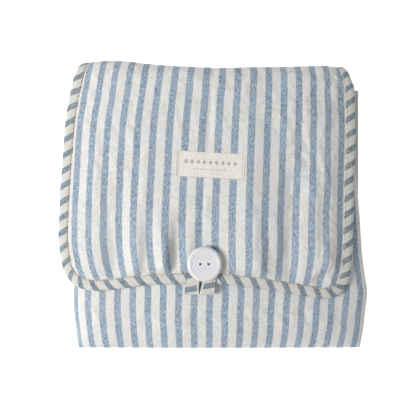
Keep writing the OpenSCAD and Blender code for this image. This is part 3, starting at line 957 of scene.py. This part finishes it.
def lathe(name, profile, centre, material, sides=96):
    """A turned solid from (radius, height) points, first and last on the axis."""
    profile = np.array(profile, float)
    angle = np.linspace(0, 2 * pi, sides, endpoint=False)
    body = profile[1:-1]
    ring = np.stack([
        body[:, 0][:, None] * np.cos(angle), body[:, 0][:, None] * np.sin(angle),
        np.broadcast_to(body[:, 1][:, None], (len(body), sides)),
    ], -1).reshape(-1, 3)
    points = np.concatenate([ring, [[0, 0, profile[0, 1]], [0, 0, profile[-1, 1]]]])
    faces = quads(len(body), sides, wrap=True).tolist()
    low, high = len(ring), len(ring) + 1
    last = (len(body) - 1) * sides
    faces += [[low, (k + 1) % sides, k] for k in range(sides)]
    faces += [[high, last + k, last + (k + 1) % sides] for k in range(sides)]
    return make_object(name, points + centre, [f[::-1] for f in faces], points[:, :2], material)


def cut(made, tool):
    """Cuts the tool out of the object and removes the tool."""
    m = made.modifiers.new("cut", "BOOLEAN")
    m.operation = "DIFFERENCE"
    m.solver = "EXACT"
    m.object = tool
    apply_modifiers(made)
    bpy.data.objects.remove(tool)


HOLE_SPACING = 6.7
HOLE_R = 0.95
BUTTON_T = BUTTON_HIGH[2] - BUTTON_LOW[2]
BUTTON_FOOT = np.array([BUTTON[0], BUTTON[1], BUTTON_LOW[2]])


def evenly_round(count, radius):
    """Offsets spaced evenly round a circle."""
    angles = [k * 2 * pi / count for k in range(count)]
    return [np.array([radius * cos(a), radius * sin(a), 0]) for a in angles]


def make_button():
    """The turned disc: a rounded underside, a rolled rim, a dished face with three rings, two holes."""
    r = (BUTTON_HIGH[0] - BUTTON_LOW[0]) / 2 + 0.5
    t = BUTTON_T
    profile = [(0, 0), (r - 6.5, 0), (r - 4.5, 0.2), (r - 2.6, 0.65), (r - 0.9, 1.35), (r, 2.2)]
    profile += [(r - 0.3, 3.0), (r - 1.0, 3.75), (r - 1.8, t - 0.1), (r - 2.4, t), (r - 3.0, t - 0.06)]
    profile += [(r - 3.5, t - 0.25), (r - 4.0, t - 0.34), (r - 4.4, t - 0.32)]
    for k in range(3):
        out = r - 4.4 - k * 2.3
        low = 0.06 * k
        profile += [(out - 1.1, t - 0.34 - low), (out - 1.5, t - 0.46 - low), (out - 1.9, t - 0.38 - low)]
    profile += [(1.4, t - 0.56), (0, t - 0.56)]
    disc = lathe("two_hole_button", profile, BUTTON_FOOT, BUTTON_RESIN)
    drill = [(0, -1), (HOLE_R, -1), (HOLE_R, t - 1.1)]
    drill += [(HOLE_R + 0.25, t - 0.7), (HOLE_R + 0.35, t + 1), (0, t + 1)]
    for side in (-1, 1):
        at = BUTTON_FOOT + np.array([side * HOLE_SPACING / 2, 0, 0])
        cut(disc, lathe("drill", drill, at, BUTTON_RESIN, 32))
    disc.data.set_sharp_from_angle(angle=radians(28))
    place(disc, "button", "button_shell", "button")


def make_button_thread():
    """Three strands through each hole."""
    strands = []
    for side in (-1, 1):
        for off in evenly_round(3, 0.28):
            foot = BUTTON_FOOT + np.array([side * HOLE_SPACING / 2, 0, -0.1]) + off
            strands.append(np.linspace(foot, foot + np.array([0, 0, BUTTON_T - 2.6]), 6))
    thread = tubes("button_sewing", strands, 0.24, WHITE_THREAD)
    place(thread, "button", "thread", "button_thread")


def make_shank():
    """Five strands up to the button with thread wound round them."""
    base = cover_at(BUTTON[0], BUTTON[1], outer_height(np.array([BUTTON[0]]), np.array([BUTTON[1]])))[0]
    height = BUTTON_LOW[2] - base[2] - 0.1
    turns = 9
    angle = np.linspace(0, 2 * pi * turns, turns * 14)
    rise = np.linspace(0.1, height - 0.3, len(angle))
    wound = [np.stack([BUTTON[0] + 1.0 * np.cos(angle), BUTTON[1] + 1.0 * np.sin(angle), base[2] + rise], -1)]
    for off in evenly_round(5, 0.5):
        foot = np.array([BUTTON[0], BUTTON[1], base[2] - 1.0]) + off
        wound.append(np.linspace(foot, foot + np.array([0, 0, height + 0.9]), 6))
    shank = tubes("wound_shank", wound, 0.26, WHITE_THREAD)
    place(shank, "flap", "thread", "button_shank")


def tubes(name, lines, radius, material, sides=8):
    """Round threads along lines of points, joined in one mesh."""
    angle = np.linspace(0, 2 * pi, sides, endpoint=False)[None, :, None]
    threads = []
    for line in lines:
        along = unit(np.gradient(line, axis=0))
        off_line = [0.31, 0.17, 0.93] if abs(along[0, 2]) < 0.9 else [1.0, 0.2, 0.1]
        side = unit(np.cross(along, off_line))
        up = np.cross(side, along)
        threads.append(line[:, None] + radius * (side[:, None] * np.cos(angle) + up[:, None] * np.sin(angle)))
    return joined_tubes(name, threads, material)


# ---------------- the folded wrap

WRAP_CUT = (630.0, 4600.0)
WRAP_PASSES = 24


def wrap_across(gap):
    """A line across the cloth, folded in three: its x, its height and its place on the cloth."""
    fold_r = gap / 2
    panel = WRAP_CUT[0] / 3 - 2 * fold_r
    line = []
    run = 0.0
    for k in range(3):
        level = (k - 1) * gap
        x = np.linspace(-panel / 2, panel / 2, 14)
        line += zip(x[::-1] if k % 2 else x, [level] * 14, run + np.linspace(0, panel, 14))
        run += panel
        if k < 2:
            side = 1 - 2 * k
            for a in np.radians([45, 90, 135]):
                out, up = fold_r * sin(a), fold_r * (1 - cos(a))
                line.append((side * (panel / 2 + out), level + up, run + fold_r * a))
            run += pi * fold_r
    return np.array(line).T


def wrap_along(turn_r):
    """The cloth's passes to and fro: (y, height), the way it faces there and its place on the cloth."""
    reach = (WRAP_HIGH[1] - WRAP_LOW[1]) / 2 - 4
    ends = reach + np.random.default_rng(61).uniform(-1.8, 1.2, WRAP_PASSES + 1)
    path, normal, cloth = [], [], []
    run = 0.0
    for k in range(WRAP_PASSES):
        way = 1 if k % 2 == 0 else -1
        y = np.linspace(-way * ends[k], way * ends[k + 1], 12)
        z = turn_r + 2 * turn_r * k
        path += [(at, z) for at in y]
        normal += [(0, way)] * len(y)
        cloth += list(run + np.abs(y - y[0]))
        run += abs(y[-1] - y[0])
        if k < WRAP_PASSES - 1:
            for a in np.radians([30, 60, 90, 120, 150]):
                path.append((y[-1] + way * turn_r * sin(a), z + turn_r * (1 - cos(a))))
                normal.append((-sin(a), way * cos(a)))
                cloth.append(run + turn_r * a)
            run += pi * turn_r
    return np.array(path), np.array(normal), np.array(cloth)


def make_wrap():
    """One long cloth folded in three across and to and fro along: a single unbroken sheet."""
    low, high = WRAP_LOW, WRAP_HIGH
    gap = (high[2] - low[2] - 4.0) / (3 * WRAP_PASSES)
    turn_r = 1.5 * gap
    xs, offs, cloth_a = wrap_across(gap)
    path, normal, cloth_b = wrap_along(turn_r)
    x = xs[None, :] + 0 * path[:, :1]
    y = path[:, 0][:, None] + normal[:, 0][:, None] * offs[None, :]
    z = path[:, 1][:, None] + normal[:, 1][:, None] * offs[None, :]
    centre_x = (low[0] + high[0]) / 2
    layer = path[:, 1][:, None] / (2 * turn_r)
    x = x + centre_x + 0.9 * np.sin(layer * 1.7) * np.sign(x) + 0.5 * np.sin(layer * 2.9)
    share = (z - z.min()) / (z.max() - z.min())
    arch = np.clip(high[2] - x * x / ARCH - low[2] - 1.2, 5, None)
    z = low[2] + 0.6 + share * arch * (1 - 0.10 * (np.abs(x - centre_x) / (WRAP_CUT[0] / 6)) ** 6)
    points = np.stack([x, y, z], -1)
    uv = np.stack(np.meshgrid(cloth_b, cloth_a, indexing="ij")[::-1], -1)
    rows, cols = points.shape[:2]
    made = make_object("folded_wrap", points.reshape(-1, 3), quads(rows, cols), uv.reshape(-1, 2), WRAP)
    place(made, "pouch", "wrap_weave", "wrap_cloth")


# ---------------- pouch trimmings

def make_mouth_binding():
    """Straight tape over the front's edge at the mouth."""
    share, cloth_x = even_across(2.5)
    share, cloth_x = share[1:-1], cloth_x[1:-1]
    # section: (distance down from the mouth, depth below the cover)
    section = [(9, -0.35), (5, -0.75), (1.5, -0.8), (-0.3, 0.2), (-0.9, 2.0), (-0.3, 4.0), (1.5, 5.0),
               (5, 4.9), (9, 4.6), (8.8, 3.2), (8.8, 1.0)]
    down, depth = np.array(section).T
    rings = []
    for s in share:
        here = pouch_at(s, MOUTH_Y - 0.5 - down, True)
        ahead = pouch_at(np.array(min(s + 0.002, 1)), MOUTH_Y, True)
        behind = pouch_at(np.array(max(s - 0.002, 0)), MOUTH_Y, True)
        along = unit(ahead - behind)
        out = unit(np.array([-along[2], 0, along[0]]))
        rings.append(here - out * depth[:, None])
    rings = np.array(rings)
    uv = np.stack(np.meshgrid(cloth_x, np.arange(len(section)) * 2.0, indexing="ij"), -1)
    tape = sweep("mouth_tape", rings, uv, BINDING)
    place(tape, "pouch", "binding_cloth", "mouth_binding")


def make_side_seam(side, node):
    """Pinked seam allowance inside one side of the pouch."""
    low, high = node_box(node)
    y = np.arange(high[1], low[1], -2.0)
    across = np.linspace(low[0], high[0], 8)
    yy, xx = np.meshgrid(y, across, indexing="ij")
    free = (xx - low[0]) / (high[0] - low[0])
    free = 1 - free if side > 0 else free
    pinked = xx + side * -1 * free * np.where(np.arange(len(y)) % 2, 0.0, 1.0)[:, None]
    middle = (low[2] + high[2]) / 2 + free * 0.5 * ripple(yy, 0 * yy, 40, 71)
    top = np.stack([pinked, yy, middle + CLOTH], -1)
    bottom = np.stack([pinked, yy, middle - CLOTH], -1)
    seam = slab("inner_" + node, top, bottom, np.stack([xx, yy], -1), LINING)
    place(seam, "pouch", "lining_cloth", node)


# ---------------- tab

TAB_W = 24.0
TAB_T = 1.4
TAB_LEAN = radians(7)
TAB_X = -10.4
TAB_STRAIGHT = 17.0    # the leaf's length from its fold to where its round end begins
TAB_R = 3.5            # the fold's outer radius
TAB_ROUND = pi * (TAB_R - TAB_T / 2)     # cloth in the fold, at the middle of its thickness
TAB_BEND = ("pouch", "tab", (TAB_HINGE[1], TAB_HINGE[2] - 2.6), (TAB_HINGE[1], TAB_HINGE[2] + 2.6))
SLIT_TOP = BUTTON[1] - TAB_HINGE[1]
SLIT_PAST = 2.2        # how far the slit goes below the fold and past the button's middle


def tab_height(y, x):
    """Height of the tab's underside as it lies over the flap's edge."""
    over = cover_at(x, y, outer_height(x, y))[..., 2]
    bound = LAYER_Z + 2.05 - x * x / ARCH
    step = ease((y + 58) / 6)
    return np.maximum(TAB_HINGE[2] + TAB_R - TAB_T - 0.7, bound * (1 - step) + over * step + 0.2)


def strap_points(a, run, lift):
    """Points of the strap: a across it, run along it from the fold (negative under the flap)."""
    lower = run < -TAB_ROUND
    turning = (run < 0) & ~lower
    angle = np.clip(-run / (TAB_R - TAB_T / 2), 0, pi)
    r = TAB_R - TAB_T / 2 + lift
    y_in = np.where(turning, -0.52 * r * np.sin(angle), np.where(lower, -(run + TAB_ROUND), run))
    lean = tan(TAB_LEAN) * np.where(y_in < 0, 0, y_in)
    x = TAB_X + a + lean + 0.12 * np.abs(y_in) * np.where(turning | lower, 1, 0)
    y = TAB_HINGE[1] + y_in
    level = np.where(lower, TAB_HINGE[2] - r, TAB_HINGE[2] + r)
    z = np.where(turning, TAB_HINGE[2] + r * np.cos(angle), level)
    rest = tab_height(y, x) + TAB_T / 2 + lift
    blend_in = ease(run / 6)
    z = np.where(run >= 0, z * (1 - blend_in) + rest * blend_in, z)
    return np.stack([x, y, z], -1)


def tab_cloth(a, run):
    """Places on the tab's ticking, whose stripes cross it at a slant; one lies 4.3 mm above the fold."""
    slant = radians(11)
    across = run * cos(slant) - a * sin(slant) - 4.3
    return np.stack([1.12 * across, a * cos(slant) + run * sin(slant)], -1)


def make_tab():
    """The bias-cut strap's free leaf with its slit, and its turn over the flap's edge."""
    half = TAB_W / 2
    crown = TAB_STRAIGHT + half
    rows = np.concatenate([
        np.linspace(crown - 0.15, TAB_STRAIGHT, 12)[:-1],
        np.linspace(TAB_STRAIGHT, 0.4, 18)[:-1],
        np.linspace(0.4, -TAB_ROUND, 14),
    ])
    round_end = np.sqrt(np.maximum(half ** 2 - (rows - TAB_STRAIGHT) ** 2, 0.5))
    half_width = np.where(rows > TAB_STRAIGHT, round_end, half)
    slit = slit_half(rows)
    f = np.linspace(0, 1, 11)
    left = -half_width[:, None] + (half_width - slit)[:, None] * f
    right = slit[:, None] + (half_width - slit)[:, None] * f
    a = np.concatenate([left, right], 1)
    run = np.broadcast_to(rows[:, None], a.shape)
    puff = 0.28 * (1 - (2 * np.abs(np.abs(a) / half_width[:, None] - 0.5)) ** 4)
    puff = puff + 0.10 * ripple(a, run, 9, 81)
    top = strap_points(a, run, TAB_T / 2 + puff)
    bottom = strap_points(a, run, -TAB_T / 2 - 0.4 * puff)
    leaf = strap_mesh("button_tab", top, bottom, tab_cloth(a, run), slit)
    bend(leaf, *TAB_BEND, "binding_cloth", "tab")


def make_tab_end():
    """The strap's end, sewn to the pouch under the flap, and its two rows of stitches."""
    rows = np.linspace(-TAB_ROUND, -TAB_ROUND - 5.2, 6)
    across = np.linspace(-TAB_W / 2, TAB_W / 2, 21)
    run, a = np.meshgrid(rows, across, indexing="ij")
    top = strap_points(a, run, -TAB_T / 2 * np.ones(a.shape))
    bottom = strap_points(a, run, TAB_T / 2 * np.ones(a.shape))
    sewn = slab("tab_sewn_end", top, bottom, tab_cloth(a, run), BINDING)
    place(sewn, "pouch", "binding_cloth", "tab_anchor")
    count, pitch = 9, 2.6
    centres = []
    for down in (1.4, 3.6):
        for k in range(count):
            at = np.array([(k - (count - 1) / 2) * pitch])
            centres.append(strap_points(at, np.array([-TAB_ROUND - down]), np.array([-TAB_T / 2 - 0.15]))[0])
    directions = np.tile([1.0, 0.0, 0.0], (len(centres), 1))
    ups = np.tile([0.0, 0.0, 1.0], (len(centres), 1))
    bar = beads("tab_bar_stitches", np.array(centres), directions, ups, SMALL_STITCH)
    place(bar, "pouch", "thread", "tab_anchor_stitches")


def slit_half(run):
    """Half the width of the buttonhole at a place along the leaf."""
    opening = through((-SLIT_PAST, 0.0), (-1.2, 0.3), (3, 0.75), (10, 1.5), (SLIT_TOP - 4, 1.8),
                      (SLIT_TOP - 1, 2.0), (SLIT_TOP + 1, 2.0), (SLIT_TOP + SLIT_PAST, 0.0))
    return np.where((run > -SLIT_PAST) & (run < SLIT_TOP + SLIT_PAST), opening(run), 0.0)


def strap_mesh(name, top, bottom, uv, slit):
    """The strap as a closed slab with its slit left open."""
    rows, cols = top.shape[:2]
    count = rows * cols
    middle = cols // 2
    index = np.arange(count).reshape(rows, cols)
    face = quads(rows, cols).reshape(rows - 1, cols - 1, 4)
    closed = (slit[:-1] < 0.01) & (slit[1:] < 0.01)
    keep = np.ones((rows - 1, cols - 1), bool)
    keep[:, middle - 1] = False
    upper = face[keep]
    points = np.concatenate([top.reshape(-1, 3), bottom.reshape(-1, 3)])
    walls = []

    def wall(a, b):
        walls.append([a, b, b + count, a + count])

    for r in range(rows - 1):
        wall(index[r, 0], index[r + 1, 0])
        wall(index[r + 1, -1], index[r, -1])
        if not closed[r]:
            wall(index[r + 1, middle - 1], index[r, middle - 1])
            wall(index[r, middle], index[r + 1, middle])
    for c in [*range(middle - 1), *range(middle, cols - 1)]:
        wall(index[0, c + 1], index[0, c])
        wall(index[-1, c], index[-1, c + 1])
    faces = np.concatenate([upper, upper[:, ::-1] + count, np.array(walls)])
    made = make_object(name, points, faces, np.concatenate([uv.reshape(-1, 2)] * 2), BINDING)
    weld(made)
    return made


def make_satin():
    """Thread worked closely round the buttonhole."""
    hump = np.array([-0.5, 0.0, 0.12, 0.15, 0.12, 0.0, -0.2])
    lines = []
    for side in (-1, 1):
        for run in np.arange(-2.6, SLIT_TOP - 0.5, 0.55):
            inner = float(slit_half(np.array(run))) + 0.05
            reach = np.linspace(inner - 0.15, inner + 2.1, len(hump))
            lines.append(strap_points(side * reach, np.full(len(hump), run), TAB_T / 2 + hump))
    satin = tubes("buttonhole_satin", lines, 0.25, WHITE_THREAD, 6)
    bend(satin, *TAB_BEND, "thread", "buttonhole_stitches")


def make_patch():
    """Round of stiff cloth behind the button, inside the flap."""
    low, high = node_box("button_patch")
    r = (high[0] - low[0]) / 2
    t = 0.7
    centre = np.array([(low[0] + high[0]) / 2, (low[1] + high[1]) / 2, low[2] + 0.3])
    profile = [(0, 0), (r * 0.6, 0), (r - 0.2, 0), (r, t * 0.3)]
    profile += [(radius, t - height) for radius, height in profile[::-1]]
    patch = lathe("button_backing", profile, centre, LINING, 64)
    place(patch, "flap", "lining_cloth", "button_patch")


# ---------------- stage, lights, camera

def make_stage():
    points = [[x * 2500, y * 2500, -0.3] for x, y in ((-1, -1), (1, -1), (1, 1), (-1, 1))]
    floor = make_object("floor", points, [[0, 1, 2, 3]], None, floor_look(), False)


def make_backdrop():
    """A white room beyond the floor, which shows behind the object but lights nothing."""
    around, up = 48, 12
    turn = np.linspace(0, 2 * pi, around, endpoint=False)
    angle, rise = np.meshgrid(turn, np.linspace(-0.05, 1.5, up))
    reach = 2400.0
    dome = reach * np.stack([np.cos(rise) * np.cos(angle), np.cos(rise) * np.sin(angle), np.sin(rise)], -1)
    n = Nodes("white_room")
    n.glow(1.0)
    room = make_object("backdrop", dome.reshape(-1, 3), quads(up, around, wrap=True), None,
                       n.look((0.0, 0.0, 0.0, 1), 1.0, specular=0.0))
    for rays in ("diffuse", "glossy", "transmission", "shadow"):
        setattr(room, "visible_" + rays, False)


def light_window():
    """The one lamp: soft light from a window on the left."""
    data = bpy.data.lights.new("window", "AREA")
    data.shape = "DISK"
    data.size = 0.7
    data.energy = 22.5
    data.color = (1.0, 0.995, 0.985)
    lamp = bpy.data.objects.new("window", data)
    bpy.context.scene.collection.objects.link(lamp)
    lamp.location = (-1.15, -0.18, 1.22)
    way = Vector((0, 0, 0.02)) - lamp.location
    lamp.rotation_euler = way.to_track_quat("-Z", "Y").to_euler()


def make_camera():
    """Straight above the pack, as in a laid-out product picture."""
    data = bpy.data.cameras.new("camera")
    data.sensor_width = 36
    data.lens = 58.846154
    camera = bpy.data.objects.new("camera", data)
    bpy.context.scene.collection.objects.link(camera)
    camera.location = (-0.0034, -0.0021, 0.600)
    camera.rotation_euler = (0, 0, 0)
    bpy.context.scene.camera = camera


def light_scene():
    world = bpy.data.worlds.new("soft_white")
    bpy.context.scene.world = world
    world.use_nodes = True
    tree = world.node_tree
    background = tree.nodes["Background"]
    background.inputs["Color"].default_value = (0.975, 0.985, 1.0, 1)
    height = tree.nodes.new("ShaderNodeSeparateXYZ")
    brightness = tree.nodes.new("ShaderNodeMapRange")
    tree.links.new(tree.nodes.new("ShaderNodeTexCoord").outputs["Generated"], height.inputs[0])
    tree.links.new(height.outputs[2], brightness.inputs[0])
    for socket, value in zip(brightness.inputs[1:5], (0.0, 1.0, 0.225, 0.545)):
        socket.default_value = value
    tree.links.new(brightness.outputs[0], background.inputs["Strength"])
    light_window()
    scene = bpy.context.scene
    scene.view_settings.view_transform = "Standard"
    scene.view_settings.look = "None"


make_camera()
make_stage()
make_backdrop()
light_scene()
make_pouch()
make_mouth_binding()
make_side_seam(-1, "side_seam_left")
make_side_seam(1, "side_seam_right")
make_wrap()
make_flap()
make_patch()
make_binding()
make_topstitch()
make_label()
make_button()
make_button_thread()
make_shank()
make_tab()
make_tab_end()
make_satin()
